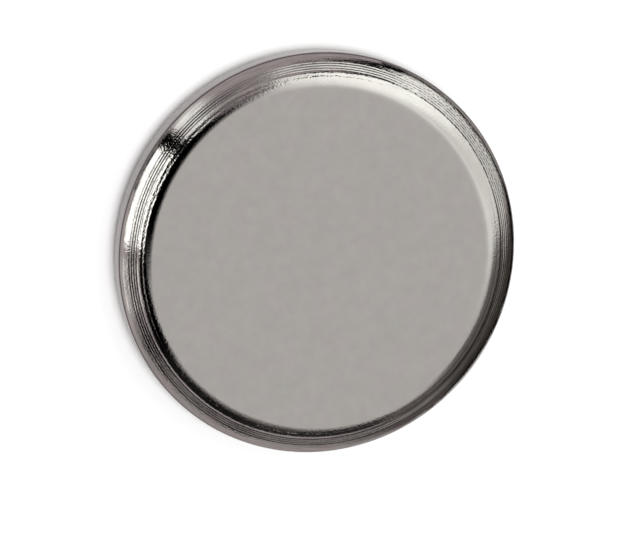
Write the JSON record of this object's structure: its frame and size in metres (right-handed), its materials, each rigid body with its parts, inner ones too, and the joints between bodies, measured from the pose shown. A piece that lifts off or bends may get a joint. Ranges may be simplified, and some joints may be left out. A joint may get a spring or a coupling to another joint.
{
  "type": "disc magnet",
  "caption": "Thin round disc magnet in bright nickel plate, with flat faces, soft shoulders and a turned bevel; lies flat, clings to steel or seats in a round pocket.",
  "frame": {"origin": "centre of the back face, on the surface that the magnet lies on", "axes": "+Z along the axis of the disc, out of the front face; X and Y lie in the back face, in any direction"},
  "size_m": [0.016, 0.016, 0.002],
  "materials": {
    "bright_nickel": "bright nickel plate, smooth on the faces, finely turned on the bevels and ground on the side"
  },
  "bodies": {
    "root": {"disc_magnet": "bright_nickel"}
  },
  "joints": []
}
